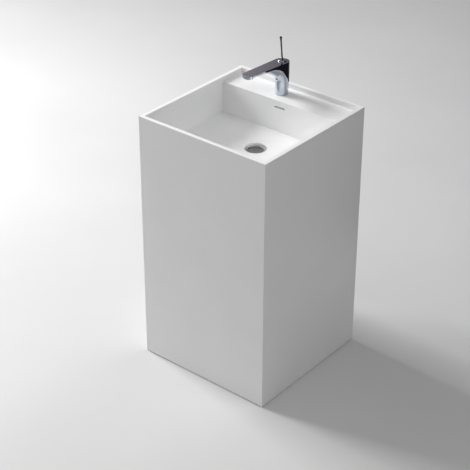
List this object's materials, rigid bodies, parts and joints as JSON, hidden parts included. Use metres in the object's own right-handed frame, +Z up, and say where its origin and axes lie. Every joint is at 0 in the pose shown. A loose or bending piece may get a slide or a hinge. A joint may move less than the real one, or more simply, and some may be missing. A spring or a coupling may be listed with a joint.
{
  "type": "pedestal sink",
  "caption": "Square free-standing pedestal sink: a tall white monolith with a sunk basin, rear tap deck, lever mixer, pop-up waste, overflow and trap.",
  "frame": {"origin": "on the floor, under the centre of the pedestal's square plan", "axes": "+Z up, -Y the front with the user, +Y the wall side, +X the user's right"},
  "size_m": [0.48, 0.48, 1.0259],
  "materials": {
    "cast_body": "matt white cast mineral composite, seamless",
    "batten": "sealed birch plywood",
    "pad_plastic": "black hard plastic",
    "zinc_steel": "zinc plated",
    "white_plastic": "moulded white plastic",
    "grey_plastic": "moulded grey plastic",
    "dark_plastic": "polished dark plastic",
    "seal_rubber": "black moulded rubber",
    "chrome": "mirror polished chrome plate",
    "brass": "turned brass",
    "copper": "drawn copper tube"
  },
  "bodies": {
    "sink": {"front_panel": "cast_body", "left_panel": "cast_body", "right_panel": "cast_body", "rear_panel": "cast_body", "basin_floor": "cast_body", "basin_rear_wall": "cast_body", "tap_deck": "cast_body", "basin_bearers": "batten", "corner_blocks": "batten", "floor_pads": "pad_plastic", "hanger_plates": "zinc_steel", "hanger_screws": "zinc_steel", "overflow_housing": "white_plastic", "overflow_pipe": "white_plastic", "waste_body": "chrome", "waste_top_gasket": "seal_rubber", "waste_under_gasket": "seal_rubber", "overflow_collar": "white_plastic", "waste_locknut": "brass", "click_cartridge": "grey_plastic", "tailpiece_seal": "seal_rubber", "tailpiece": "chrome", "tailpiece_nut": "white_plastic", "trap_head": "white_plastic", "trap_inlet_seal": "seal_rubber", "trap_inlet_nut": "white_plastic", "trap_dip_tube": "white_plastic", "trap_cup": "white_plastic", "trap_cup_seal": "seal_rubber", "outlet_pipe": "white_plastic", "outlet_seal": "seal_rubber", "outlet_nut": "white_plastic", "mixer_body": "chrome", "mixer_seal": "seal_rubber", "ceramic_cartridge": "grey_plastic", "cartridge_nut": "brass", "aerator_housing": "chrome", "aerator_insert": "grey_plastic", "index_button": "dark_plastic", "hot_tail": "copper", "hot_union_nut": "brass", "cold_tail": "copper", "cold_union_nut": "brass", "fixing_stud": "zinc_steel", "clamp_washer": "seal_rubber", "clamp_plate": "zinc_steel", "clamp_nut": "brass"},
    "turret": {"lever_turret": "chrome", "lever_axle": "zinc_steel"},
    "lever": {"lever_pin": "chrome"},
    "plug": {"plug_cap": "chrome", "plug_seal": "seal_rubber", "plug_stem": "brass"}
  },
  "joints": [
    {"name": "temperature_swing", "type": "hinge", "parent": "sink", "child": "turret", "pos_m": [-0.0315, 0.18307, 0.9452], "axis": [0, 0.0628, 0.998], "range_deg": [-45, 45]},
    {"name": "flow_tilt", "type": "hinge", "parent": "turret", "child": "lever", "pos_m": [-0.0315, 0.18307, 0.9452], "axis": [1, 0, 0], "range_deg": [0, 25]},
    {"name": "plug_lift", "type": "slide", "parent": "sink", "child": "plug", "axis": [0, 0, 1], "range_m": [0, 0.008]}
  ]
}
